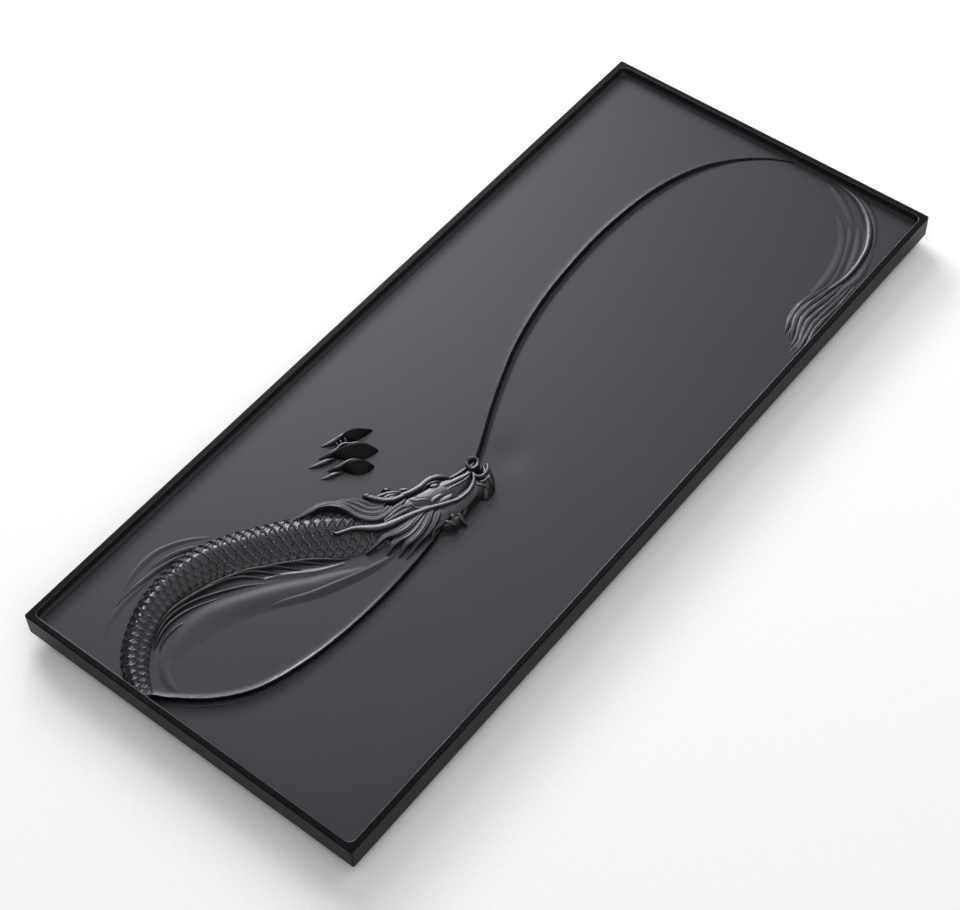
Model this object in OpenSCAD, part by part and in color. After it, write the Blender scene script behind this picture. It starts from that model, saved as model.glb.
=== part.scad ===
// Carved stone tea tray: one black stone block with a stepped, water-like floor and a dragon
// swimming through it, standing on six self-adhesive rubber feet.
// Millimetres. +X runs along the long side, +Y to the back and +Z up. The origin is on the
// surface that the feet stand on, under the middle of the tray.
// The dragon is cut from the same block as the floor. Each carved feature is its own node and
// meets the floor and its neighbours face to face.

/* [Block] */
// Length of the stone block
block_len = 700; // [660:5:760]
// Width of the stone block
block_wid = 300; // [290:5:340]
// Thickness of the stone block
block_t = 20; // [18:0.5:30]
// Width of the rim's top face
rim_w = 5; // [4:0.5:8]
// Rounding of the block's four upright edges
outer_r = 1.5; // [1:0.5:4]
// Rounding of the recess's four inner corners
inner_r = 4; // [3:0.5:8]

/* [Floor] */
// Depth of the back terrace below the rim
back_depth = 7; // [7:0.5:9]
// Drop from the back terrace to the front pool
step_h = 3.5; // [2:0.5:5]

/* [Dragon] */
// Share of their full height that the carved features keep
relief = 1; // [0.6:0.05:1]

/* [Feet] */
// Radius of a foot where it meets the block
foot_r = 15; // [10:1:20]
// Height of the rubber foot
foot_h = 7; // [5:0.5:12]
// Thickness of the adhesive disc between a foot and the block
glue_t = 1; // [0.5:0.25:1.5]
// Distance from the block's ends to the centres of the end feet
foot_inset_x = 50; // [30:5:80]
// Distance from the block's long sides to the centres of the feet
foot_inset_y = 40; // [25:5:60]

/* [Hidden] */
$fn = 48;

stone_colour = [0.10, 0.10, 0.105];
rubber_colour = [0.03, 0.03, 0.03];
glue_colour = [0.75, 0.75, 0.72];

base_z = foot_h + glue_t;              // underside of the block
top_z = base_z + block_t;              // rim's top face
back_z = top_z - back_depth;           // back terrace
pool_z = back_z - step_h;              // front pool
half_len = block_len / 2;
half_wid = block_wid / 2;
wall_x = half_len - rim_w;             // inner faces of the rim
wall_y = half_wid - rim_w;

curve_steps = 3;                       // pieces of curve between two stations
dome_fn = 16;                          // sides of a ridge's dome
dome_turn = 30;                        // degrees between a dome's rings
tip_w = 0.8;                           // narrowest end of any ridge

// ---- Curves. A station is [x, y, width, height]; an outline's point is [x, y]. ----

// The lip of the step, from the left wall past the dragon's head to the right wall.
step_lip = [
    [-wall_x - 3, 44], [-340, 37], [-334, 26], [-316, 2], [-290, -17], [-250, -29], [-205, -34.5],
    [-160, -35], [-122, -32], [-85, -24], [-47, -10], [0, 12], [50, 31.5], [100, 43.5],
    [150, 49], [195, 50], [245, 45], [285, 33], [312, 16], [332, -6], [343, -29], [wall_x + 3, -52]
];

body_line = [
    [-338, 44, 9, 3], [-336, 51, 13, 4.2], [-330, 61, 18, 5.4], [-313, 75.5, 20.5, 6.2],
    [-289.5, 86, 21.6, 6.5], [-265, 89, 24.5, 6.6], [-239, 83.5, 30, 6.7], [-219, 71.3, 33.6, 6.7],
    [-201, 58.8, 35.3, 6.7], [-183.5, 43.8, 36, 6.6], [-168, 30, 37, 6.4], [-152, 14, 35, 6],
    [-138, 4, 28, 5.5]
];
dorsal_line = [
    [-302, 101, 4, 0.8], [-285, 105, 7, 1.6], [-265, 108, 10, 2], [-245, 104.5, 12, 2],
    [-226, 94, 10, 1.6]
];
belly_line = [
    [-318, 57, 8, 1], [-300, 65, 12, 1.5], [-275, 66, 16, 1.6], [-250, 58, 20, 1.8],
    [-225, 42, 24, 1.8], [-200, 22, 22, 1.6], [-180, 5, 16, 1.2], [-166, -6, 8, 1]
];
crest_line = [
    [-292, 49, 4, 0.8], [-270, 46, 8, 1.2], [-250, 36.5, 12, 1.6], [-225, 20, 12, 1.6],
    [-200, 2, 9, 1.6], [-180, -10, 8, 1.6], [-160, -17.5, 5, 1.4]
];
skull_line = [
    [-128, 6, 12, 4.8], [-118, 2.5, 13, 5.6], [-110, 1, 16, 6.2], [-102, -2, 20, 6.7], [-96, -5, 25, 6.8],
    [-88, -9.5, 29, 6.7], [-76, -12, 21, 6], [-66, -15, 15, 5.2], [-61, -17, 11, 4.6]
];
jaw_line = [
    [-104, -26.5, 8, 2.6], [-91, -32, 11, 3.8], [-77, -34.5, 12, 4.2], [-66, -32.3, 12, 4.2],
    [-57, -28.5, 9, 3.6], [-52, -24.5, 6, 2.8]
];
horn_line = [
    [-103, 4, 6, 6.2], [-110, 11, 6, 6.6], [-118, 19, 5.5, 6.6], [-123.5, 26.5, 4.6, 6.2], [-125.5, 30, 2, 5]
];
ear_line = [[-101, 5, 4, 5.6], [-106, 12, 5, 5.8], [-110.5, 18, 3.6, 5.2], [-112.5, 22, tip_w, 4]];
nostril_line = [[-58.5, -9, 5, 5], [-54, -9.5, 6, 5.2], [-51, -13, 6, 4.8], [-52.5, -17.5, 5, 4]];
whisker_line = [
    [-64, -24, 2, 4.4], [-70, -25.4, 2.6, 5], [-80, -26.6, 3, 5.4], [-91, -24, 3.2, 5.9],
    [-101, -17, 3.6, 6.5], [-111, -9.5, 4, 6.9], [-123, -4.5, 5, 6.9], [-136, 1.5, 6, 6.9],
    [-147, 12.5, 6.5, 6.9], [-155, 20.5, 4.5, 6.9], [-163, 26, 1.6, 6.8]
];
mane_locks = [
    [
        [-107, 5, 6, 5.4], [-122, 9, 10, 6.2], [-135, 17, 12, 6.6], [-143, 30, 12, 6.2],
        [-148, 43, 8, 4.6], [-150.5, 50, 2, 2]
    ],
    [[-108, 7, 6, 5], [-122, 15, 9, 5.6], [-131, 25, 9, 5.2], [-136, 36, 5, 3.4], [-138, 41, tip_w, 1.6]],
    [[-108, 8, 5, 4.6], [-119, 17, 7, 5], [-126, 26, 5, 4], [-129, 32, tip_w, 2]]
];
beard_locks = [
    [
        [-115, -11.5, 5, 5.4], [-126, -9, 10, 5.6], [-138, -7, 11, 5], [-149, -5.5, 10, 4],
        [-162, -1.5, tip_w, 1.6]
    ],
    [
        [-106, -14, 8, 5.4], [-122, -17, 10, 5], [-137, -17, 10, 4.2], [-148, -17, 8, 3.2],
        [-158, -15, tip_w, 1.4]
    ],
    [
        [-101, -21.5, 5, 4.4], [-114, -24, 10, 4.6], [-128, -25, 9, 3.8], [-140, -22.5, 6, 2.8],
        [-149, -21.5, tip_w, 1.2]
    ]
];
back_claw_talons = [
    [[-105, 83, 2, 0.8], [-97, 77.5, 8, 3.6], [-87, 72.5, 11, 5.6], [-80, 69, 8, 4.6], [-75, 65.5, 1, 1.4]],
    [[-118, 81, 2, 0.8], [-108, 71, 9, 3.8], [-99, 64, 14, 6], [-91, 56.5, 10, 5], [-85.5, 51, 1, 1.4]],
    [[-123, 67, 2, 0.8], [-114, 59.5, 8, 3.4], [-107, 53, 12, 5.4], [-101.5, 48, 8, 4.4], [-97.5, 44, 1, 1.4]]
];
front_claw_talons = [
    [[-124, -33, 4, 2], [-114, -32, 7, 3.8], [-104, -34, 6, 3.6], [-97, -39, tip_w, 1.2]],
    [[-120, -36, 4, 2], [-112, -38, 6, 3], [-105, -42, tip_w, 1.2]]
];
tail_locks = [
    [[238, -121, 4, 1], [224, -117.5, 7, 2.2], [210, -116, 8, 2.6], [198, -118.5, 5, 2], [187, -122, 1, 0.8]],
    [[262, -130.5, 5, 1], [238, -127, 9, 2.2], [214, -126, 10, 2.8], [194, -129, 7, 2], [171, -134, 1, 1]],
    [[262, -137, 3, 1], [240, -135.5, 7, 1.6], [216, -134.5, 8, 2.2], [200, -137, 5, 1.6], [193, -139, 1, 1]]
];
tail_ridge_line = [
    [341, -78, 2, 0.6], [337, -90, 4, 1.2], [328, -103, 5, 1.8], [312, -116, 6, 2], [295, -125, 6, 2],
    [275, -130, 5, 1.6], [264, -130.8, 4, 1.2]
];

function curve_at(a, b, c, d, t) =
    ((2 * b) + (c - a) * t + (2 * a - 5 * b + 4 * c - d) * t * t + (3 * b - a - 3 * c + d) * t * t * t) / 2;

// A smooth curve through every point of a list, with each number in a point blended alike.
function smooth(points, steps = curve_steps) = let (last = len(points) - 1) [
    for (i = [0:last - 1], k = [0:steps - 1])
        curve_at(points[max(i - 1, 0)], points[i], points[i + 1], points[min(i + 2, last)], k / steps),
    points[last]
];

// ---- Building blocks ----

// A round-backed dome, flat on z = 0, with a straight foot that goes down by sink.
module dome(station, sink) {
    wide = max(station[2], tip_w);
    translate([station[0], station[1], 0]) rotate_extrude($fn = dome_fn) polygon([
        [0, -sink],
        [wide / 2, -sink],
        for (turn = [0:dome_turn:90]) [wide / 2 * cos(turn), relief * station[3] * sin(turn)]
    ]);
}

// A ridge along a line of stations, flat on floor_z. sink carries its foot that much lower.
module ridge(stations, floor_z, sink = 0) {
    line = smooth(stations);
    translate([0, 0, floor_z]) for (i = [1:len(line) - 1]) hull() {
        dome(line[i - 1], sink);
        dome(line[i], sink);
    }
}

module rounded_plate(len, wid, r, h) {
    linear_extrude(h) union() {
        square([len - 2 * r, wid], center = true);
        square([len, wid - 2 * r], center = true);
        for (x = [-1, 1], y = [-1, 1]) translate([x * (len / 2 - r), y * (wid / 2 - r)]) circle(r);
    }
}

// The stretch of the recess in front of the step, from below the pool's floor upward.
module pool_region(from_z) {
    outline = concat(smooth(step_lip), [[half_len + 3, -half_wid - 3], [-half_len - 3, -half_wid - 3]]);
    translate([0, 0, from_z]) linear_extrude(top_z) polygon(outline);
}

module recess(from_z) {
    translate([0, 0, from_z]) rounded_plate(2 * wall_x, 2 * wall_y, inner_r, top_z);
}

// Everything under the floor: the stone that a carved feature stands on.
module floor_stone() {
    difference() {
        translate([0, 0, base_z]) rounded_plate(block_len, block_wid, outer_r, back_depth + block_t);
        recess(back_z);
        intersection() {
            recess(pool_z);
            pool_region(pool_z);
        }
    }
}

// A feature that crosses the step: it reaches down to the pool where the pool is under it.
module across_step(stations) {
    difference() {
        ridge(stations, back_z, sink = step_h);
        floor_stone();
    }
}

// ---- Carved features. Each gives way to the ones named before it. ----

module body_form() { ridge(body_line, back_z); }
module skull_form() { across_step(skull_line); }
module jaw_form() { across_step(jaw_line); }
module horn_form() { ridge(horn_line, back_z); }
module ear_form() { ridge(ear_line, back_z); }
module mane_form() { for (lock = mane_locks) ridge(lock, back_z); }
module whisker_form() { across_step(whisker_line); }
module beard_form() { for (lock = beard_locks) across_step(lock); }
module curl_form() { across_step(nostril_line); }

module stone_block() {
    color(stone_colour) difference() {
        translate([0, 0, base_z]) rounded_plate(block_len, block_wid, outer_r, block_t);
        recess(back_z);
        intersection() {
            recess(pool_z);
            pool_region(pool_z);
        }
    }
}

module dragon_body() {
    color(stone_colour) difference() {
        body_form();
        skull_form();
        mane_form();
        whisker_form();
        beard_form();
    }
}

module dorsal_fin() {
    color(stone_colour) difference() {
        ridge(dorsal_line, back_z);
        body_form();
    }
}

module belly_fin() {
    color(stone_colour) difference() {
        ridge(belly_line, back_z);
        body_form();
        beard_form();
    }
}

module pool_crest() {
    color(stone_colour) difference() {
        ridge(crest_line, back_z);
        ridge(belly_line, back_z);
        beard_form();
    }
}

module dragon_head() {
    color(stone_colour) difference() {
        skull_form();
        whisker_form();
        curl_form();
    }
}

module lower_jaw() {
    color(stone_colour) difference() {
        jaw_form();
        skull_form();
        whisker_form();
        curl_form();
    }
}

module horn() {
    color(stone_colour) difference() {
        horn_form();
        skull_form();
    }
}

module ear() {
    color(stone_colour) difference() {
        ear_form();
        skull_form();
        horn_form();
    }
}

module upper_mane() {
    color(stone_colour) difference() {
        mane_form();
        skull_form();
        horn_form();
        ear_form();
        whisker_form();
    }
}

module beard() {
    color(stone_colour) difference() {
        beard_form();
        skull_form();
        jaw_form();
        mane_form();
        whisker_form();
    }
}

module whisker() { color(stone_colour) whisker_form(); }

module nostril_curl() {
    color(stone_colour) difference() {
        curl_form();
        whisker_form();
    }
}

module back_claw() {
    color(stone_colour) for (talon = back_claw_talons) ridge(talon, back_z);
}

module front_claw() {
    color(stone_colour) difference() {
        for (talon = front_claw_talons) across_step(talon);
        beard_form();
        jaw_form();
    }
}

module tail_fin() {
    color(stone_colour) for (lock = tail_locks) ridge(lock, pool_z);
}

module tail_ridge() {
    color(stone_colour) difference() {
        ridge(tail_ridge_line, pool_z);
        for (lock = tail_locks) ridge(lock, pool_z);
    }
}

// ---- Feet ----

foot_x = half_len - foot_inset_x;
foot_y = half_wid - foot_inset_y;
foot_bevel = 1;
foot_taper = 1;
glue_r = foot_r - 2;

module foot_at(column, row) {
    color(rubber_colour) translate([column * foot_x, row * foot_y, 0]) rotate_extrude() polygon([
        [0, 0], [foot_r - foot_taper - foot_bevel, 0], [foot_r - foot_taper, foot_bevel],
        [foot_r, foot_h], [0, foot_h]
    ]);
}

module glue_disc_at(column, row) {
    color(glue_colour) translate([column * foot_x, row * foot_y, foot_h]) cylinder(h = glue_t, r = glue_r);
}

stone_block();
dragon_body();
dorsal_fin();
belly_fin();
pool_crest();
dragon_head();
lower_jaw();
horn();
ear();
upper_mane();
beard();
whisker();
nostril_curl();
back_claw();
front_claw();
tail_fin();
tail_ridge();
foot_at(-1, -1);  // foot_front_left
foot_at(0, -1);  // foot_front_middle
foot_at(1, -1);  // foot_front_right
foot_at(-1, 1);  // foot_back_left
foot_at(0, 1);  // foot_back_middle
foot_at(1, 1);  // foot_back_right
glue_disc_at(-1, -1);  // glue_disc_front_left
glue_disc_at(0, -1);  // glue_disc_front_middle
glue_disc_at(1, -1);  // glue_disc_front_right
glue_disc_at(-1, 1);  // glue_disc_back_left
glue_disc_at(0, 1);  // glue_disc_back_middle
glue_disc_at(1, 1);  // glue_disc_back_right
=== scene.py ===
"""Carved black stone tea tray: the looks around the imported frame.

Shapes are worked out in millimetres in the tray's own frame (+X along it, +Y to the back, +Z up) and
written to the meshes in metres. The block is one mesh whose rows of faces follow the step in its floor.
The dragon's features are swept or carved surfaces that rise out of that floor.
"""

import math

import bpy
import numpy as np
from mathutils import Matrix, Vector


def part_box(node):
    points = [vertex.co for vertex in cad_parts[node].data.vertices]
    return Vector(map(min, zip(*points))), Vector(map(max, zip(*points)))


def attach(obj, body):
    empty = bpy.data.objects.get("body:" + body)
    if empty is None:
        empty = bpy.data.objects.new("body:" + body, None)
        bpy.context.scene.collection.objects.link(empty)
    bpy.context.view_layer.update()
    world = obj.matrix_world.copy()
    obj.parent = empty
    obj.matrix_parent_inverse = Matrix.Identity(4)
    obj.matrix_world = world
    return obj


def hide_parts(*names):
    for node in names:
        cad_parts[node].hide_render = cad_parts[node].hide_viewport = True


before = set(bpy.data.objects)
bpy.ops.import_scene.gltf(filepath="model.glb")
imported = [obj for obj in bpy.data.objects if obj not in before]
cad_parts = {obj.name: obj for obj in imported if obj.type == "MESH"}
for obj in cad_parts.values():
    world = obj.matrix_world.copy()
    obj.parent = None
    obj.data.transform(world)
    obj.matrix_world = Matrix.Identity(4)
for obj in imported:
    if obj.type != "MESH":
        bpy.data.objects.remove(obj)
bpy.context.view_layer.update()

MM = 0.001
BODY = "root"

# ---- The block, as the frame has it, in millimetres ----

block_low, block_high = (np.array(corner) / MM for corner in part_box("stone_block"))
HALF_X, HALF_Y = block_high[0], block_high[1]
BASE, TOP = block_low[2], block_high[2]
RIM = 5.0                # width of the rim
BACK_DEPTH = 7.0         # from the rim down to the back floor
STEP = 3.5               # from the back floor down to the pool's
WALL_X, WALL_Y = HALF_X - RIM, HALF_Y - RIM
BACK_FLOOR = TOP - BACK_DEPTH
POOL_FLOOR = BACK_FLOOR - STEP

WALL_CORNER = 5.0        # radius of the recess's corners
FILLET = 2.6             # round between wall and floor
FILLET_RINGS = 5
ARRIS = 0.55             # round on the rim's inner edge
ARRIS_RINGS = 4
OUTER_ARRIS = 0.7        # round on the block's outer edges
OUTER_CORNER = 1.5       # radius of the block's upright edges
OUTER_TURNS = np.radians([0, 30, 60, 90])   # where the rings round an outer edge lie
RIM_MARGIN = 0.4         # the rim's flat top starts this far inside its rounds, to shade flat
WALL_MARGIN = 1.3        # a wall's last ring lies this far from the top or the underside, for the same reason
UNDERSIDE_INSET = 4.0    # the underside's last ring lies this far inside its edge

# The lip of the step from the left wall to the right wall.
STEP_LIP = [
    (-WALL_X - 3, 44), (-340, 37), (-334, 26), (-316, 2), (-290, -17), (-250, -29), (-205, -34.5),
    (-160, -35), (-122, -32), (-85, -24), (-47, -10), (0, 12), (50, 31.5), (100, 43.5),
    (150, 49), (195, 50), (245, 45), (285, 33), (312, 16), (332, -6), (343, -29), (WALL_X + 3, -52),
]
# Each of these tables runs along the lip, as pairs of an x and the value there.
# The width of the step's face.
FACE_WIDTH = [(-345, 2.4), (-330, 3), (-300, 3), (-220, 2.6), (-125, 2), (-90, 2.4), (-47, 4.6), (50, 5.4),
              (100, 5.4), (200, 5.4), (300, 4.6), (335, 2.5), (345, 2)]
# The share of the face, from the lip down, that is made near-black as painted shade.
PAINTED_SHADE_SHARE = [(-345, 0.6), (-100, 0.6), (0, 0.5), (240, 0.5), (345, 0.95)]
# How far the lip stands proud of the back floor.
LIP_RISE = [(-345, 1.2), (-330, 1.5), (-300, 1.4), (-250, 0.8), (-200, 0.4), (-150, 0.12), (-47, 0),
            (20, 0.1), (100, 0.35), (200, 0.45), (290, 0.2), (335, 0)]
# How wide the lip is left glossy from carving.
CRISP_LIP = [(-180, 1.8), (-160, 0), (0, 0), (40, 0.9), (240, 0.9), (300, 0)]
LIP_WIDTH = 2.2          # the raised lip has fallen to a third this far behind its line
LIP_EDGE = 0.3           # the lip starts this far in front of its line
FACE_CURVE = 1.25        # above 1 the face is hollow, steepest at its top
SCOOP_X, SCOOP_Y, SCOOP_REACH, SCOOP_DEPTH = -30, -27, 15, 0.7   # a shallow dip in front of the dragon's chin
RISE_START, POOL_RISE = 250.0, 3.1   # from this x on, the pool's floor climbs by this much to the right wall

# The floor's grid, with its densities in faces a millimetre.
COLUMN_DENSITY, COLUMN_END_DENSITY = 1 / 1.5, 1.2   # along the tray, and what its ends add
ROW_DENSITY, ROW_END_DENSITY = 1 / 3.4, 0.5         # across the tray, and what its front and back add
END_REACH = 7.0          # how far from a wall that goes
STEP_DENSITY = 2.0       # what the step adds, straight across it
STEP_MIDDLE, STEP_REACH = 1.5, 4.2   # how far in front of the lip that is centred, and how far it goes
STEEPEST = 4.5           # rows follow the lip up to this slope
ROWS = 132


# ---- Lines and the floor's height ----


def smooth(points, steps=12):
    """A smooth curve through every point, with each number of a point blended alike."""
    p = np.asarray(points, float)
    p = np.vstack([2 * p[0] - p[1], p, 2 * p[-1] - p[-2]])
    t = np.arange(steps)[:, None] / steps
    spans = [
        (2 * b + (c - a) * t + (2 * a - 5 * b + 4 * c - d) * t**2 + (3 * b - a - 3 * c + d) * t**3) / 2
        for a, b, c, d in zip(p, p[1:], p[2:], p[3:])
    ]
    return np.vstack(spans + [p[-2:-1]])


def lengths(line):
    """Distance along a line at each of its points."""
    steps = np.hypot(*np.diff(line[:, :2], axis=0).T)
    return np.concatenate([[0], np.cumsum(steps)])


def even(line, gap):
    """The same line with its points the same distance apart, in three spans or more."""
    along = lengths(line)
    at = np.linspace(0, along[-1], max(int(round(along[-1] / gap)), 3) + 1)
    return np.column_stack([np.interp(at, along, line[:, k]) for k in range(line.shape[1])])


def lefts(line):
    """Unit vectors to the left of a line, at each of its points."""
    d = np.gradient(line[:, :2], axis=0)
    d /= np.hypot(d[:, 0], d[:, 1])[:, None]
    return np.column_stack([-d[:, 1], d[:, 0]])


LIP_GAP = 0.7
LIP = even(smooth(STEP_LIP, 24), LIP_GAP)
LIP_LEFTS = lefts(LIP)
CHUNK = 4000             # how many points are measured against the lip at once


def table(pairs, at):
    """The value at a position, between the pairs of a table."""
    return np.interp(at, [p[0] for p in pairs], [p[1] for p in pairs])


def from_lip(x, y):
    """Distance from the lip, positive behind it, and the x of the nearest point of the lip."""
    flat = np.column_stack([x.ravel(), y.ravel()])
    distance, at = np.empty(len(flat)), np.empty(len(flat))
    for start in range(0, len(flat), CHUNK):
        part = flat[start:start + CHUNK]
        away = part[:, None, :] - LIP[None, :, :]
        near = np.argmin((away**2).sum(2), axis=1)
        gap = away[np.arange(len(part)), near]
        side = np.sign((gap * LIP_LEFTS[near]).sum(1))
        distance[start:start + CHUNK] = np.hypot(gap[:, 0], gap[:, 1]) * np.where(side == 0, 1, side)
        at[start:start + CHUNK] = LIP[near, 0]
    return distance.reshape(x.shape), at.reshape(x.shape)


def ground(x, y):
    """Height of the recess's floor: the pool, the step's face and lip, and the back floor."""
    x, y = np.asarray(x, float), np.asarray(y, float)
    away, at = from_lip(x, y)
    lip = table(LIP_RISE, at)
    climb = np.clip(1 + away / table(FACE_WIDTH, at), 0, 1) ** FACE_CURVE
    behind = BACK_FLOOR + lip * np.exp(-np.clip(away, 0, None)**2 / LIP_WIDTH**2)
    scoop = SCOOP_DEPTH * np.exp(-((x - SCOOP_X)**2 + (y - SCOOP_Y)**2) / SCOOP_REACH**2)
    along = np.clip((x - RISE_START) / (WALL_X - RISE_START), 0, 1)
    pool = POOL_FLOOR + POOL_RISE * along**2 * (3 - 2 * along) - scoop
    front = pool + climb * (BACK_FLOOR + lip - pool)
    return np.where(away > 0, behind, front)


# ---- Meshes ----


def new_object(name, data):
    """Adds a mesh, a light or a camera to the scene."""
    obj = bpy.data.objects.new(name, data)
    bpy.context.scene.collection.objects.link(obj)
    return obj


def piece(name, verts, faces, slot, *materials, face_material=None):
    """A smooth-shaded closed mesh, given in millimetres, that rides on the tray."""
    mesh = bpy.data.meshes.new(name)
    mesh.from_pydata((np.asarray(verts) * MM).tolist(), [], faces)
    for material in materials:
        mesh.materials.append(material)
    mesh.polygons.foreach_set("use_smooth", [True] * len(mesh.polygons))
    if face_material is not None:
        mesh.polygons.foreach_set("material_index", face_material)
    mesh.validate()
    mesh.update()
    obj = new_object(name, mesh)
    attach(obj, BODY)
    return obj


class Shells:
    """The closed surfaces that make up one piece."""

    def __init__(self):
        self.verts = []
        self.faces = []
        self.count = 0

    def add(self, top, bottom_z):
        """Closes a grid of points down to a flat strip; its first and last columns are its long edges."""
        rows, cols = top.shape[:2]
        start = self.count
        left, right = top[:, 0].copy(), top[:, -1].copy()
        left[:, 2] = right[:, 2] = bottom_z
        self.verts += [top.reshape(-1, 3), left, right]
        low = start + rows * cols
        high = low + rows
        self.count = high + rows

        def at(i, j):
            return start + i * cols + j

        last = rows - 1
        edge = cols - 1
        for i in range(last):
            self.faces += [(at(i, j), at(i + 1, j), at(i + 1, j + 1), at(i, j + 1)) for j in range(edge)]
            self.faces.append((at(i + 1, 0), at(i, 0), low + i, low + i + 1))
            self.faces.append((at(i, edge), at(i + 1, edge), high + i + 1, high + i))
            self.faces.append((low + i + 1, low + i, high + i, high + i + 1))
        self.faces.append([at(0, j) for j in range(cols)] + [high, low])
        self.faces.append([at(last, j) for j in range(edge, -1, -1)] + [low + last, high + last])

    def build(self, name, slot, *materials):
        return piece(name, np.vstack(self.verts), self.faces, slot, *materials)


# ---- The block's mesh ----


SAMPLES = 4000           # how finely a density is added up


def graded(low, high, density, count=None):
    """Positions from low to high, packed where density (points a millimetre) is high."""
    at = np.linspace(low, high, SAMPLES)
    total = np.concatenate([[0], np.cumsum((density(at)[1:] + density(at)[:-1]) / 2 * np.diff(at))])
    count = count or int(round(total[-1])) + 1
    return np.interp(np.linspace(0, total[-1], count), total, at)


def near_ends(at, half):
    """1 at the two ends of a span of this half length, falling to 0 away from them."""
    return np.exp(-((half - np.abs(at)) / END_REACH)**2)


def floor_grid(half_x, half_y):
    """The x of the floor's columns and, for each of them, the y of its rows."""
    xs = graded(-half_x, half_x, lambda at: COLUMN_DENSITY + near_ends(at, half_x) * COLUMN_END_DENSITY)
    lip_y = np.interp(xs, LIP[:, 0], LIP[:, 1])
    # A column that crosses the step at a slant takes this much longer to cross it.
    slants = np.sqrt(1 + np.clip(np.gradient(lip_y, xs), -STEEPEST, STEEPEST)**2)

    def column(lip, slant):
        def density(at):
            from_step = (at - lip + STEP_MIDDLE * slant) / (STEP_REACH * slant)
            return (ROW_DENSITY + near_ends(at, half_y) * ROW_END_DENSITY
                    + STEP_DENSITY / slant * np.exp(-from_step**2))
        return graded(-half_y, half_y, density, ROWS)

    return xs, np.array([column(lip, slant) for lip, slant in zip(lip_y, slants)])


def block_rings(half_x, half_y, corner, floor_z):
    """The rings round the block, each its two half lengths, its corners' radius and its height.

    They go from the floor's edge up the wall, over the rim and down the outside to the underside.
    The second value is how many of them lie on the fillet and the wall.
    """
    rings = []
    for turn in np.linspace(0, math.pi / 2, FILLET_RINGS + 1)[1:]:
        out = FILLET * math.sin(turn)
        rings.append((half_x + out, half_y + out, corner + out, floor_z + FILLET * (1 - math.cos(turn))))
    rings.append((WALL_X, WALL_Y, WALL_CORNER, TOP - WALL_MARGIN))
    for turn in np.linspace(0, math.pi / 2, ARRIS_RINGS + 1):
        out, drop = ARRIS * (1 - math.cos(turn)), ARRIS * (1 - math.sin(turn))
        rings.append((WALL_X + out, WALL_Y + out, WALL_CORNER + out, TOP - drop))
    wall_rings = len(rings) - ARRIS_RINGS
    inner, outer = ARRIS + RIM_MARGIN, OUTER_ARRIS + RIM_MARGIN
    rings.append((WALL_X + inner, WALL_Y + inner, WALL_CORNER, TOP))
    rings.append((HALF_X - outer, HALF_Y - outer, OUTER_CORNER, TOP))
    for turn in OUTER_TURNS:
        inset, drop = OUTER_ARRIS * (1 - math.sin(turn)), OUTER_ARRIS * (1 - math.cos(turn))
        rings.append((HALF_X - inset, HALF_Y - inset, OUTER_CORNER, TOP - drop))
    rings.append((HALF_X, HALF_Y, OUTER_CORNER, TOP - WALL_MARGIN))
    rings.append((HALF_X, HALF_Y, OUTER_CORNER, BASE + WALL_MARGIN))
    for turn in OUTER_TURNS:
        inset, lift = OUTER_ARRIS * (1 - math.cos(turn)), OUTER_ARRIS * (1 - math.sin(turn))
        rings.append((HALF_X - inset, HALF_Y - inset, OUTER_CORNER, BASE + lift))
    rings.append((HALF_X - UNDERSIDE_INSET, HALF_Y - UNDERSIDE_INSET, OUTER_CORNER, BASE))
    return rings, wall_rings


def round_corners(x, y, half_x, half_y, r):
    """Moves points in the square corners of a rectangle onto round ones."""
    a = np.clip((np.abs(x) - half_x + r) / r, 0, 1)
    b = np.clip((np.abs(y) - half_y + r) / r, 0, 1)
    corner = (a > 0) & (b > 0)
    round_x = np.sign(x) * (half_x - r + r * a * np.sqrt(1 - b * b / 2))
    round_y = np.sign(y) * (half_y - r + r * b * np.sqrt(1 - a * a / 2))
    return np.where(corner, round_x, x), np.where(corner, round_y, y)


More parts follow.
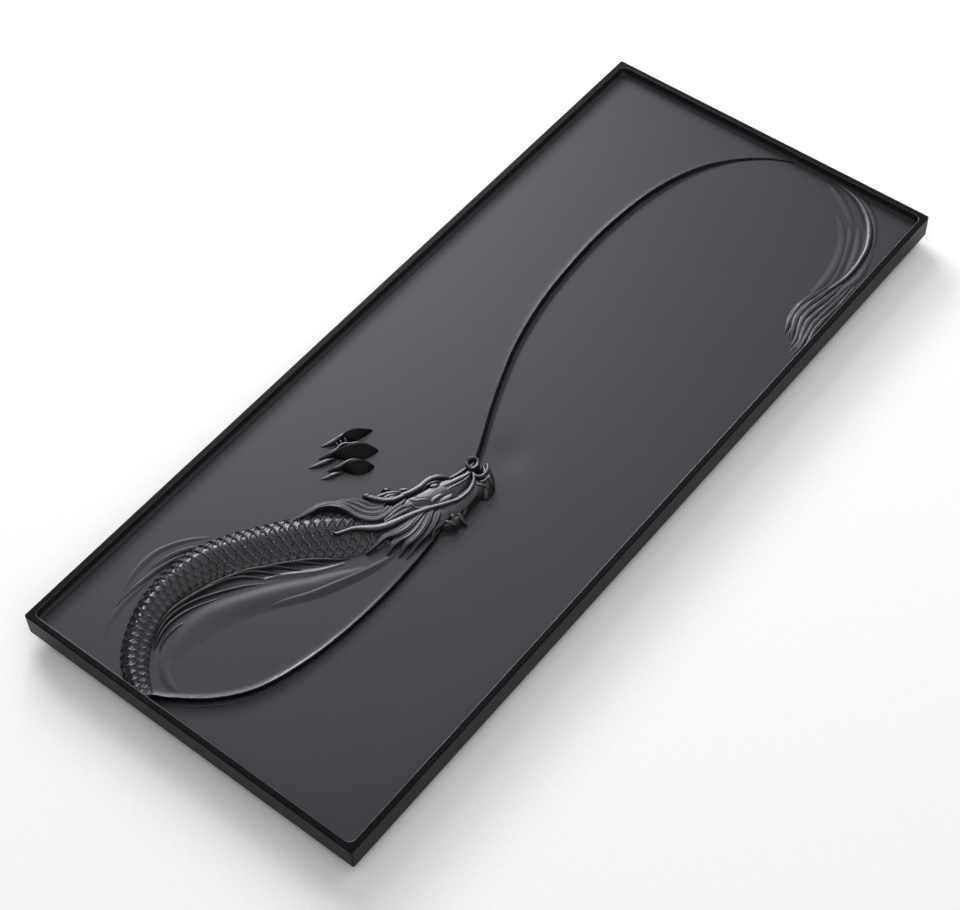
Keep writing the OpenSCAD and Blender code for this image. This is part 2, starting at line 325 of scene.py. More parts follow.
def stone_block(milled, honed_and_painted_shade, carved):
    """The whole block as one closed mesh: a grid for the floor, then rings of faces out to the underside."""
    half_x, half_y = WALL_X - FILLET, WALL_Y - FILLET
    corner = WALL_CORNER - FILLET
    xs, grid_y = floor_grid(half_x, half_y)
    grid_x = np.repeat(xs[:, None], ROWS, axis=1)
    x, y = round_corners(grid_x, grid_y, half_x, half_y, corner)
    z = ground(x, y)
    verts = [np.dstack([x, y, z]).reshape(-1, 3)]
    number = np.arange(x.size).reshape(x.shape)
    faces = [
        (number[i, j], number[i + 1, j], number[i + 1, j + 1], number[i, j + 1])
        for i in range(len(xs) - 1) for j in range(ROWS - 1)
    ]

    edge = tuple(np.concatenate([
        [(i, 0) for i in range(len(xs))],
        [(len(xs) - 1, j) for j in range(1, ROWS)],
        [(i, ROWS - 1) for i in range(len(xs) - 2, -1, -1)],
        [(0, j) for j in range(ROWS - 2, 0, -1)],
    ]).T)
    loop_x, loop_y, loop = grid_x[edge], grid_y[edge], number[edge]
    sides = len(loop)
    start = x.size
    rings, wall_rings = block_rings(half_x, half_y, corner, z[edge])
    for size_x, size_y, r, height in rings:
        ring_x, ring_y = round_corners(loop_x * size_x / half_x, loop_y * size_y / half_y, size_x, size_y, r)
        verts.append(np.column_stack([ring_x, ring_y, np.broadcast_to(height, ring_x.shape)]))
        ring = np.arange(start, start + sides)
        faces += [(loop[k], ring[k], ring[(k + 1) % sides], loop[(k + 1) % sides]) for k in range(sides)]
        loop, start = ring, start + sides
    faces.append(loop[::-1].tolist())

    # Which stone each face shows: 0 milled, 1 honed, which on the step's face is near-black painted shade, or
    # 2 carved.
    away, at = from_lip(x[:-1, :-1], y[:-1, :-1])
    # The step's face below the lip gets the near-black honed stone: painted shade where the face turns from
    # the light.
    face = (away > -table(PAINTED_SHADE_SHARE, at) * table(FACE_WIDTH, at)) & (away < -LIP_EDGE)
    lip = (away > -LIP_EDGE) & (away < table(CRISP_LIP, at))
    face_material = np.select([face.ravel(), lip.ravel()], [1, 2], 0).tolist()
    face_material += [0] * (wall_rings * sides) + [2] * (ARRIS_RINGS * sides)
    face_material += [1] * (len(faces) - len(face_material))
    obj = piece("stone_tray_block", np.vstack(verts), [tuple(int(v) for v in f) for f in faces],
                "polished_stone", milled, honed_and_painted_shade, carved, face_material=face_material)
    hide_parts("stone_block")


# ---- The carving ----


def dome(u, crest, power):
    """Height across a strand: 0 at its edges (u = -1 right, 1 left), 1 at its crest."""
    t = np.where(u < crest, (u + 1) / (crest + 1), (1 - u) / (1 - crest))
    return np.sin(np.clip(t, 0, 1) * math.pi / 2) ** power


SKIRT = 1.2              # a strand goes down this far under the floor
END_DIP = 0.2            # and its two ends dip this far into it
THINNEST = 0.5           # the least width of a strand
CUT_SHARE = 0.2          # the share of a half width taken by a cut side
DEEPEST_FALL = 0.7       # a cut strand's top falls by no more than this share of its height
HAIR_FACES = 6           # faces across a hair
HAIR_DEPTH = 0.32


def strand(shells, stations, level=BACK_FLOOR, crest=0.0, power=0.8, relief=None, hairs=0, gap=0.9,
           across=12, sink=0.35):
    """A swept ridge through its stations, each an x, y, width and height of the crest.

    Heights are measured from level, or from the ground under the ridge if level is None.
    The crest lies by that share of the half width to the left, and a higher power makes it sharper.
    With a relief the top falls only by that share of its half width, and cut sides drop to the floor;
    without one it rounds all the way down. Its edges end in the ground, by sink. Hairs are grooves along it.
    """
    line = even(smooth(stations), gap)
    across = max(across, hairs * HAIR_FACES)
    u = np.cos(np.linspace(math.pi, 0, across + 1))[None, :]
    side = lefts(line)
    half = np.clip(line[:, 2:3], THINNEST, None) / 2
    x = line[:, :1] + side[:, :1] * u * half
    y = line[:, 1:2] + side[:, 1:] * u * half
    floor = ground(x, y)
    rise = dome(u, crest, power)
    tall = line[:, 3:4] + sink + (0 if level is None else level - floor)
    if relief is None:
        z = floor + tall * rise - sink
    else:
        fall = np.minimum(relief * half, DEEPEST_FALL * tall)
        cut_side = np.sin(np.clip((1 - np.abs(u)) / CUT_SHARE, 0, 1) * math.pi / 2) ** 0.5
        z = floor - sink + (tall - fall * (1 - rise)) * cut_side
    if hairs:
        # The grooves weave a little, and get shallower where the lock is narrow and along its edges.
        weave = 0.35 * np.sin(lengths(line)[:, None] / 9 + u * 3)
        groove = np.sin(math.pi * ((u + 1) / 2 * hairs + weave)) ** 2
        share = np.clip(half / half.max() * 1.4, 0, 1) * np.clip(rise * 2, 0, 1)
        z = z - HAIR_DEPTH * groove * share
    z[0], z[-1] = np.minimum(z[0], floor[0] - END_DIP), np.minimum(z[-1], floor[-1] - END_DIP)
    shells.add(np.dstack([x, y, z]), floor.min() - SKIRT)


def carve(name, nodes, material, strands):
    """One piece from a list of strands, each a list of stations and the strand's own settings."""
    shells = Shells()
    for stations, settings in strands:
        strand(shells, stations, **settings)
    obj = shells.build(name, "carved_stone", material)
    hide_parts(*nodes)


# The body from the left wall to the neck: x, y, width and height.
BODY_LINE = [
    (-344, 39, 12, 2.6), (-341.5, 46, 14, 4.0), (-336, 55, 17, 5.0), (-328, 65, 19.5, 5.6),
    (-313, 76, 21, 6.0), (-290, 85.5, 22.5, 6.3), (-265, 88, 26, 6.5), (-239, 83, 31, 6.6),
    (-219, 71.5, 34.5, 6.6), (-201, 58.5, 36, 6.5), (-184, 45, 37.5, 6.3), (-170.5, 32.5, 38.5, 5.8),
    (-160, 21, 38, 5.1), (-150, 11, 35, 4.4), (-140, 3, 29, 3.8), (-129, -3, 20, 3.2),
]
BODY_GAP, BODY_ACROSS = 0.5, 100   # the length of the body's faces, and how many points lie across it
BODY_CREST = 0.35        # the back of the body stands highest this far towards its outer side
BODY_CLEARANCE = 0.15    # and stays this far below the rim
SCALE_PITCH = [(12, 5.2), (38, 7.0)]   # from one scale to the next, by the body's width
SCALE_ROWS = [(0, 4), (50, 4.6), (140, 7.6), (400, 8.6)]   # rows across it, by the distance along it
SCALE_RELIEF, SCALE_RIM = 1.35, 0.95   # how far scales stand out, and how much of that their free edges add
SPINE_END = 120          # the lobes on the outer edge stop this far along the body


def scale_relief(along, row):
    """Height of overlapping scales, each low at its root and thickest at its free edge towards the tail."""
    x, y = 2 * along, row
    # Each scale is a diamond, and f and g say where a point lies in it, along it and across it.
    a, b = np.floor((x + y + 1) / 2), np.floor((x - y + 1) / 2)
    f, g = x - (a + b), y - (a - b)
    reach = 1 - np.abs(g)
    root = np.clip((f + reach) / (2 * reach + 1e-6), 0, 1)
    rim = np.exp(-((reach - np.abs(f)) / 0.2) ** 2) * np.clip(1 - (f + 0.1) / 0.25, 0, 1)
    return 0.5 * (1 - root) ** 0.8 + SCALE_RIM * rim


def dragon_body(material):
    """The body's scaled back, and the lobes that stand along its outer edge."""
    line = even(smooth(BODY_LINE), BODY_GAP)
    along = lengths(line)[:, None]
    pitch = table(SCALE_PITCH, line[:, 2:3])
    scale = np.cumsum(np.gradient(along[:, 0]) / pitch[:, 0])[:, None]
    turn = np.linspace(0.0, math.pi, BODY_ACROSS)[None, :]
    u = -np.cos(turn)
    side = lefts(line)
    half, tall = line[:, 2:3] / 2, line[:, 3:4]

    # Across the body: short cut sides, then two slopes up to a blunt ridge.
    slope = np.where(u < BODY_CREST, (u + 1) / (BODY_CREST + 1), (1 - u) / (1 - BODY_CREST))
    ridge = 1.14 - np.sqrt((1 - slope) ** 2 + 0.02)
    up = 0.3 * np.sin(np.clip(6 * slope, 0, 1) * math.pi / 2) + 0.7 * np.clip(ridge, 0, 1)
    fade = np.clip(np.sin(turn) * 2.5, 0, 1) * np.clip(along / 12, 0.5, 1)
    row = turn / math.pi * table(SCALE_ROWS, along) + 0.5
    relief = SCALE_RELIEF * fade * (scale_relief(scale + 0.35 * np.sin(turn), row) - 0.5)
    x = line[:, :1] + side[:, :1] * u * half
    y = line[:, 1:2] + side[:, 1:] * u * half
    z = np.minimum(BACK_FLOOR + tall * up + relief - 0.25 * (1 - up), TOP - BODY_CLEARANCE)
    shells = Shells()
    shells.add(np.dstack([x, y, z]), BACK_FLOOR - SKIRT)

    # One lobe beside each scale, as large as the scale is and leaning out and back from the body's edge.
    for k in range(1, int(np.interp(SPINE_END, along[:, 0], scale[:, 0]))):
        i = int(np.searchsorted(scale[:, 0], k + 0.5))
        size, reach = pitch[i, 0] / SCALE_PITCH[-1][1], half[i, 0]
        ahead = np.array([side[i, 1], -side[i, 0]])
        root = line[i, :2] + side[i] * (reach - 2.6 * size) + ahead * 2 * size
        middle = line[i, :2] + side[i] * (reach - 1.2 * size) - ahead * 0.6 * size
        tip = line[i, :2] + side[i] * (reach + 0.5) - ahead * 3 * size
        strand(shells, [(*root, 1.4, 4.2), (*middle, 3.4 * size, 4.2), (*tip, 0.6, 0.7)], gap=0.5, across=8)
    obj = shells.build("dragon_body_scaled", "carved_stone", material)
    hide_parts("dragon_body")


# Settings of strands that come up again and again.
FIN = {"power": 1.2, "crest": -0.55}
BACK_FIN = {"power": 1.2, "crest": 0.1}
WATER = {"power": 1.8, "across": 14, "sink": 0.03}
SWELL = {**WATER, "crest": 0.35, "power": 2.0, "across": 20}


def fins_and_water(material, floor_material):
    """The fins' rays above and below the body, and the waves round it."""
    carve("dorsal_fin_rays", ["dorsal_fin"], material, [
        ([(-305, 106.5, 2, 0.1), (-294, 108.6, 4, 0.9), (-283, 108.4, 5, 1.5), (-270, 107.2, 5, 1.8),
          (-259, 105.4, 4.6, 2), (-248.5, 102, 4, 2), (-238, 96.4, 3, 1.8)], BACK_FIN),
        ([(-266, 110.6, 2, 0.1), (-257, 109.6, 4, 1.2), (-247.5, 107, 4.6, 1.9), (-238, 102, 4.6, 2),
          (-229.5, 95, 4, 1.8), (-222, 87.5, 3, 1.4)], BACK_FIN),
    ])
    carve("belly_fin_rays", ["belly_fin"], material, [
        ([(-313, 62, 2, 0.6), (-304.5, 66, 4, 1.8), (-297.5, 68, 4.4, 2), (-291, 68.6, 4.4, 2),
          (-283, 68, 4, 1.8), (-275, 66, 3.6, 1.4), (-266.5, 62.6, 3, 1), (-259, 58.5, 2.4, 0.5),
          (-251.5, 54, 1, 0.05)], FIN),
        ([(-306, 68, 2, 1), (-300.5, 69.6, 4, 2.4), (-293, 71.6, 4.6, 2.8), (-284, 72, 4.6, 2.8),
          (-274.5, 70.5, 4.4, 2.6), (-264, 66.6, 4.2, 2.3), (-254, 61.2, 4, 2), (-243, 54, 3.4, 1.5),
          (-232, 45.2, 2.4, 0.8), (-223.6, 36, 1, 0.05)], FIN),
        ([(-299, 72, 2, 1.6), (-294, 73.4, 4, 3), (-286.5, 74.6, 5, 3.6), (-279, 74.4, 5.4, 3.8),
          (-268.5, 72.4, 5.4, 3.8), (-259.5, 70, 5.2, 3.6), (-250.5, 66.6, 5, 3.4), (-240, 62.2, 5, 3),
          (-232, 56, 4.6, 2.4), (-226, 48.4, 3.6, 1.5), (-221, 37.8, 1, 0.05)], FIN),
        ([(-256, 70, 2, 2), (-250, 67.6, 4, 3.4), (-241.5, 63.8, 5, 3.8), (-232, 59.2, 5.2, 3.6),
          (-224.5, 53.6, 5, 3), (-218.5, 45.8, 4, 2), (-214, 36.5, 2.6, 1), (-208.5, 26.7, 1, 0.05)], FIN),
        ([(-238, 63, 2, 2), (-231.5, 59.4, 4, 3.6), (-223, 53.8, 5, 3.8), (-215.5, 47.4, 5, 3.4),
          (-210, 42, 4.4, 2.8), (-205, 33.5, 3.2, 1.6), (-200, 22.8, 1, 0.05)], FIN),
        ([(-220, 51, 2, 2), (-212, 44.6, 4.4, 3.6), (-204, 38.2, 4.6, 3.4), (-197, 31.2, 4.4, 2.8),
          (-191.5, 22.8, 3.2, 1.6), (-184, 11, 1, 0.05)], FIN),
        ([(-205, 39.5, 2, 2), (-198, 32.6, 4.2, 3.4), (-189.6, 24.5, 4.4, 3.2), (-182.4, 15.6, 3.6, 2.4),
          (-177, 8.8, 2.6, 1.4), (-171.5, 3.6, 1, 0.3)], FIN),
        ([(-314, 56, 1.6, 0.05), (-307.5, 60, 2.6, 0.9), (-299, 62.6, 2.8, 1.1), (-290.5, 62.8, 2.6, 0.9),
          (-281, 60.6, 1.4, 0.05)], FIN),
        ([(-226, 43, 2, 0.05), (-213.6, 33.7, 6, 0.7), (-203.5, 23.6, 7, 0.8), (-193, 14, 6, 0.7),
          (-177, 4, 3, 0.1)], WATER),
    ])
    carve("dorsal_fin_ripples", ["dorsal_fin"], floor_material, [
        ([(-326, 95.5, 3, 0.02), (-312, 102.6, 6, 0.25), (-298, 105, 7, 0.4), (-284, 105, 5, 0.4),
          (-272, 104, 2, 0.02)], SWELL),
        ([(-290, 112.5, 3, 0.02), (-279, 116, 6, 0.25), (-266, 117.8, 7, 0.45), (-253, 117, 7, 0.55),
          (-241, 112.6, 6, 0.5), (-229, 104.6, 5, 0.35), (-219, 95, 3, 0.02)], SWELL),
    ])
    carve("pool_crest_waves", ["pool_crest"], floor_material, [
        ([(-309, 43.6, 10, 0.02), (-296, 48, 20, 0.35), (-285, 49, 25, 0.55), (-274, 48, 27, 0.7),
          (-263, 44, 27, 0.8), (-249.5, 37, 25, 0.9), (-235, 28, 24, 1), (-222, 18.8, 24, 1),
          (-208.6, 8.4, 22, 0.95), (-193.4, -1, 19, 0.8), (-181, -8, 14, 0.5), (-170, -12, 6, 0.02)],
         SWELL),
        ([(-246, 27, 5, 0.02), (-229.7, 17, 9, 0.6), (-212.2, 5, 11, 1.1), (-195, -3.6, 11, 1.5),
          (-182.7, -9.4, 10, 1.6), (-172, -13.6, 9, 1.4), (-160, -17.4, 7, 0.9), (-148, -19.8, 4, 0.1)],
         SWELL),
        ([(-297, 62, 4, 0.02), (-306, 57.5, 8, 0.3), (-315, 51.5, 10, 0.4), (-322, 43, 10, 0.4),
          (-326.5, 33, 9, 0.3), (-327, 24, 4, 0.02)], WATER),
    ])


def fur(hairs, **settings):
    """Settings of a lock of hair."""
    return {"hairs": hairs, "power": 1.0, "relief": 0.36, "gap": 0.7, **settings}


def cut(crest=-0.4, relief=0.4, gap=0.5):
    """Settings of a carved fold: a gently rounded top between cut sides."""
    return {"crest": crest, "relief": relief, "power": 1.0, "gap": gap}


def head(material):
    """The head with its jaw, nostril, horn, ear, mane, beard and whisker."""
    carve("dragon_head_carved", ["dragon_head"], material, [
        # The skull, then the brow, the snout's top and its side.
        ([(-121, 1, 12, 4.4), (-112, -2.5, 19, 5.6), (-104, -7, 23, 6), (-97, -10.5, 25, 6.1),
          (-90, -13, 26, 6), (-83, -15.5, 25, 5.8), (-76.5, -18, 19, 5.6), (-70, -18.6, 13, 5.2),
          (-64, -17.5, 10, 4.6), (-58, -16.5, 6, 3.4)], {"power": 0.4}),
        ([(-111.5, 10, 2.6, 5.4), (-108, 7, 4, 6.3), (-104.5, 4.8, 4.8, 6.7), (-99.8, 3.1, 5.2, 6.9),
          (-95, 2, 5.4, 6.9), (-89.8, 1.6, 5.4, 6.9), (-85.3, 0.3, 5, 6.8), (-81.4, -2.2, 4.4, 6.6),
          (-78.5, -5.8, 3.8, 6.2), (-76.8, -9.4, 2.4, 5.6)], cut(-0.5)),
        ([(-78.6, -8.6, 1.6, 4.8), (-75.6, -10.6, 3, 6), (-72, -12, 3.2, 6.1), (-68.2, -12.8, 3, 5.9),
          (-64.4, -13.2, 2.4, 5.4), (-61, -13, 1.4, 4.6)], cut()),
        ([(-87.5, -10, 1.6, 5.2), (-83.5, -12, 4.2, 6.5), (-78.6, -13.8, 5, 6.8), (-74, -15.6, 5, 6.8),
          (-69.3, -17.2, 4.4, 6.5), (-65, -18.2, 3.6, 6), (-62, -18.6, 2, 5)], cut(-0.5)),
        ([(-90.5, -13.6, 1.4, 4.8), (-86, -15.6, 2.6, 6.1), (-82, -16.4, 3, 6.2), (-78.2, -17.9, 3, 6.2),
          (-74, -19.2, 2.8, 6.1), (-70, -19.9, 2.6, 6), (-65.6, -19.6, 2, 5.6)], cut()),
        # The eye in its socket, the lids and the fold under it.
        ([(-92.8, -2.6, 1.2, 4.8), (-91, -4.2, 4, 6), (-88.8, -6, 4.4, 6.3), (-86.6, -7.6, 3, 5.8),
          (-85.6, -8.4, 1, 4.8)], cut(gap=0.4)),
        ([(-98.5, -1.6, 1, 4.8), (-94.5, -0.6, 2, 6), (-90, -1.8, 2.2, 6.2), (-85.6, -4.6, 2, 6.1),
          (-83, -7.6, 1, 5)], cut()),
        ([(-106, 0.8, 1.2, 4.8), (-104.6, -2.6, 2, 5.9), (-101.4, -6.4, 2.4, 6.1), (-97.6, -8.4, 2.4, 6.1),
          (-93.6, -8.4, 2.2, 6), (-89.4, -9.8, 2, 5.9), (-85.4, -10.6, 1.2, 5)], cut()),
        ([(-101, -2.5, 1, 4.8), (-98.6, -5, 1.8, 5.7), (-95.4, -5.4, 1.2, 5)], cut(gap=0.4)),
        # The cheek and the rims of the ear's hole.
        ([(-105.4, -15.6, 2, 5), (-102.4, -14, 4, 6.3), (-99, -13.2, 5, 6.6), (-95.4, -13.8, 5, 6.5),
          (-92, -15, 4, 6.1), (-88.5, -16.6, 1.6, 5)], cut()),
        ([(-101, -17.5, 3, 4.8), (-96.5, -18.2, 7, 5.8), (-91.5, -19.6, 8, 6), (-87, -20.4, 5, 5.4)],
         cut()),
        ([(-110.6, 1.4, 1, 5), (-109.4, -0.8, 2, 6.1), (-107.8, -3.8, 2.3, 6.3), (-104.6, -6.4, 2.4, 6.4),
          (-102.4, -9.8, 2.3, 6.3), (-103, -13, 1.6, 5.6)], cut(gap=0.4)),
        ([(-110.4, 0.2, 1, 5), (-112, -3, 2, 6), (-112.6, -7, 2, 6), (-110.6, -10.6, 2, 5.9),
          (-106.8, -13.2, 1.8, 5.8), (-104, -14, 1, 5)], cut(gap=0.4)),
    ])
    carve("lower_jaw_carved", ["lower_jaw"], material, [
        ([(-90, -27, 6, 3.6), (-80, -30.5, 9, 3.9), (-70, -31, 12, 3.8), (-62, -30.5, 13, 3.7),
          (-55.5, -28, 9, 3.3), (-50.6, -25, 3, 2.6)], {"power": 0.6}),
        ([(-52, -21, 5, 3.4), (-56.4, -26.4, 11, 4.3), (-61.6, -31, 13, 4.2), (-66, -34.4, 12, 3.2),
          (-69.6, -37, 9, 1.2), (-72.6, -39.4, 3, -2.6)], {"power": 0.7}),
        ([(-62.6, -20, 1.6, 4.6), (-63.6, -23, 2.8, 5.3), (-62.6, -26, 3.2, 5.5), (-59, -27.6, 3.4, 5.5),
          (-55, -27, 3.2, 5.3), (-51.4, -24.8, 2.6, 4.8), (-49.4, -21.4, 1.4, 3.6)], cut(0)),
        ([(-70, -27.6, 1.4, 4.2), (-68, -30.6, 3, 4.9), (-66.4, -33.6, 3, 4.6), (-65.4, -37, 2, 2.6)],
         cut(0)),
        ([(-56.6, -30, 1.4, 4.2), (-59.4, -32.4, 3, 4.8), (-60.4, -35.6, 2.4, 3.4), (-61.4, -38.6, 1.2, 0)],
         cut(0)),
        ([(-66.5, -28, 1.2, 4.4), (-64.5, -30.6, 2, 5), (-60.5, -31.4, 2, 4.9), (-57, -29.6, 1.2, 4.2)],
         cut(0)),
    ])
    carve("nostril_curl_carved", ["nostril_curl"], material, [
        ([(-64, -15.6, 5, 3.4), (-58, -14.8, 9, 3.8), (-53, -14, 8, 3.4), (-50, -13.6, 3, 2.6)],
         {"power": 0.6}),
        ([(-55.8, -10.6, 1.2, 4.6), (-58.8, -11.2, 2.6, 6.3), (-61, -14, 2.8, 6.6), (-61, -17.2, 3, 6.6),
          (-58, -18.6, 3, 6.4), (-54.4, -17.8, 3, 6), (-52, -15, 2.8, 6), (-52.4, -12, 2.6, 6),
          (-55.2, -10.2, 2.4, 5.8), (-57.4, -10.8, 1, 4.6)], cut(gap=0.4)),
    ])
    carve("horn_carved", ["horn"], material, [
        ([(-106, 6, 3, 5.8), (-111.6, 7.6, 4, 6.4), (-116.6, 10.2, 4.6, 6.7), (-120.8, 14.6, 4.8, 6.8),
          (-123.6, 20.2, 4.8, 6.7), (-125.4, 25.4, 4.6, 6.6), (-126.8, 30.6, 3.4, 5.6)], cut(0.5)),
        ([(-129.4, 28.6, 1, 4), (-127.4, 28.4, 4.2, 6.2), (-124.6, 26.6, 4.4, 6.6), (-122.6, 24.6, 1, 4.4)],
         cut(gap=0.4)),
    ])
    carve("ear_carved", ["ear"], material, [
        ([(-125.4, 22, 1, 5), (-120.6, 20, 2.8, 6.4), (-116, 17.6, 3, 6.4), (-111.6, 13.8, 3, 6.4),
          (-108.4, 9.4, 2, 6)], cut(-0.5)),
        ([(-123.4, 18.4, 1, 5), (-118.2, 15.6, 2.6, 6.5), (-113.8, 13, 2.6, 6.5), (-110.6, 9.6, 1.4, 5.6)],
         cut(-0.5)),
        ([(-120.6, 14.4, 1, 5.2), (-116.4, 12.2, 2.4, 6.5), (-112.6, 9.2, 1.4, 5.8)], cut(-0.5)),
        ([(-114.8, 24, 1, 1.4), (-113, 22, 3.4, 4), (-111, 19.8, 3.4, 4.2), (-109.4, 18, 1.4, 2.6)],
         cut(gap=0.4)),
        ([(-108.6, 15.6, 1, 2.4), (-107, 12.6, 3, 4.6), (-104.4, 9.6, 3.4, 5.4), (-102, 7, 1.4, 5)],
         cut(gap=0.4)),
    ])
    carve("upper_mane_carved", ["upper_mane"], material, [
        ([(-176, 58, 1.4, 3.4), (-168.6, 54.4, 3.4, 5.2), (-161, 51.4, 4.4, 6.2), (-154, 48.8, 5.4, 6.8),
          (-148.4, 44.4, 6, 6.9), (-144.9, 38, 6, 6.9), (-143.6, 31, 5.6, 6.8), (-143.6, 24, 5.4, 6.6),
          (-142.2, 17.4, 5.2, 6.5), (-139, 11.2, 5, 6.4), (-134.2, 7.4, 4.8, 6.4), (-128, 6, 4, 6.2),
          (-121, 7, 2.4, 5.8)], fur(4, crest=-0.55)),
        ([(-147.5, 44.5, 2, 5), (-141.6, 37, 5.4, 6.2), (-139.6, 28.4, 5.8, 6.2), (-138.4, 20, 5.6, 6.1),
          (-134.6, 13, 5, 6), (-128.6, 9.4, 4, 5.9), (-122, 9, 2, 5.4)], fur(4)),
        ([(-144.5, 43.5, 2, 4), (-138, 36.4, 5, 5.6), (-135.2, 28, 5.4, 5.7), (-134, 20.4, 5.2, 5.6),
          (-130.4, 14.6, 4.6, 5.6), (-124.6, 11.4, 2.4, 5.2)], fur(4)),
        ([(-141.5, 41.5, 1.6, 2.6), (-134.6, 34.6, 4.4, 4.8), (-131, 27.4, 4.8, 5), (-129.8, 20.6, 4.6, 5),
          (-126.6, 15.6, 4, 5), (-121.6, 12.4, 2, 4.8)], fur(4)),
        ([(-135.4, 36.4, 1.4, 1.4), (-130, 30.4, 3.4, 3), (-126.8, 24.4, 3.6, 3.6), (-125.4, 18, 3, 4),
          (-122, 13.6, 1.6, 4)], fur(3)),
        ([(-110, 0.5, 2, 5.4), (-113.6, -2.6, 3, 6.2), (-118, 0.6, 3.4, 6.4), (-124, 2, 3.6, 6.5),
          (-130, 2.8, 3.4, 6.5), (-136, 4, 2, 6)], fur(3)),
        ([(-110, 3.6, 2, 5.2), (-115.6, 3.4, 3.2, 6), (-121.6, 4.6, 3.4, 6.2), (-128, 5, 3, 6.2),
          (-134, 6, 1.6, 5.8)], fur(3)),
        ([(-112.6, -5.6, 1.8, 5.6), (-118.6, -3.4, 3, 6.4), (-125, -1.2, 3.4, 6.6), (-131.4, 0.4, 3.2, 6.6),
          (-137, 2.6, 1.8, 6.2)], fur(3)),
    ])
    carve("beard_carved", ["beard"], material, [
        ([(-66, -25, 7, 4.2), (-76, -29.4, 11, 4.9), (-88, -28.6, 15, 5.2), (-100, -24.6, 17, 5.2),
          (-112, -20.6, 16, 5), (-124, -17.4, 14, 4.4), (-134, -14.6, 9, 3.4), (-142, -12.6, 3, 1.4)],
         fur(11)),
        ([(-108, -13, 4, 5.6), (-114, -13, 7, 6.2), (-121.4, -12.6, 9, 6.2), (-129, -12, 9.6, 6.1),
          (-136, -9.6, 8.6, 5.8), (-141.6, -6.6, 6, 5.4), (-147, -5, 4, 4.8), (-154, -4.6, 2.4, 3.8),
          (-163, -3, 0.8, 1.8)], fur(6, crest=0.55)),
        ([(-110, -15, 3, 5), (-117, -16.6, 6, 5.6), (-125, -17.4, 7.6, 5.4), (-132.4, -16.6, 8, 5),
          (-139.6, -14, 7, 4.4), (-147, -13.4, 4.6, 3.4), (-155, -15.4, 0.8, 1)], fur(4, crest=0.55)),
        ([(-103, -15.5, 4, 5.4), (-109.6, -18, 7, 6), (-117.6, -20.4, 8.6, 5.8), (-126, -21.6, 9, 5.4),
          (-134, -21.4, 7.6, 4.8), (-141, -21, 4.6, 3.6), (-151.4, -23.2, 0.8, 0.8)], fur(6, crest=0.55)),
        ([(-98.5, -19.5, 4, 5), (-105.6, -22.4, 6, 5.5), (-113.6, -24.8, 7, 5.1), (-122, -26, 6.6, 4.4),
          (-131, -26, 5, 3.4), (-140, -27, 3, 2), (-149.4, -28.4, 0.8, 0.4)], fur(5, crest=0.55)),
        ([(-93, -22.5, 4, 4.6), (-99, -26.4, 6.4, 4.8), (-105.6, -28.6, 6.6, 4.2), (-111.6, -28.8, 5, 3.5),
          (-116.6, -28.4, 3.2, 3.2), (-120.6, -29.8, 2.2, 2.4), (-125, -33.4, 0.8, 0)], fur(4)),
        ([(-88, -25, 4, 4.4), (-93, -29, 6, 4.4), (-98, -32, 5.4, 3.6), (-102.4, -33.4, 4, 2.4),
          (-107, -33, 1, 0.6)], fur(4)),
        ([(-82, -27, 4, 4.2), (-86.4, -31, 6, 4), (-91, -34.4, 5, 2.6), (-95.4, -36.6, 1, -1.5)], fur(4)),
    ])
    carve("whisker_carved", ["whisker"], material, [
        ([(-62.8, -19.6, 1.6, 5.4), (-64.8, -22.4, 2.4, 6), (-68, -25, 2.8, 6.3), (-71.8, -27, 3, 6.5),
          (-76.2, -28.2, 3.2, 6.6), (-81, -28.4, 3.2, 6.7), (-86, -27.8, 3.2, 6.8),
          (-90.2, -26.2, 3.4, 6.8), (-94.2, -23.8, 3.4, 6.9), (-98.8, -21, 3.6, 6.9),
          (-103.4, -17.8, 3.8, 6.9), (-108, -14.8, 4.2, 6.9), (-113.2, -11.8, 4.6, 6.9),
          (-118.6, -9, 5, 6.9), (-123.8, -6.6, 5.4, 6.9), (-129, -4.4, 6, 6.9), (-134.6, -1.8, 6.4, 6.9),
          (-138.8, 0.6, 6.6, 6.9), (-142.6, 3.6, 6.6, 6.9), (-146.4, 7.8, 6.2, 6.9), (-150, 12.4, 5.2, 6.8),
          (-153.4, 16, 4, 6.8), (-157.4, 18.6, 3.2, 6.8), (-161.4, 20.6, 2.8, 6.9), (-164.6, 23, 2.4, 6.9),
          (-164.6, 25.4, 1, 6.4)], cut(0.5)),
    ])


TALON = {"crest": 0.72, "power": 1.0, "gap": 0.6}


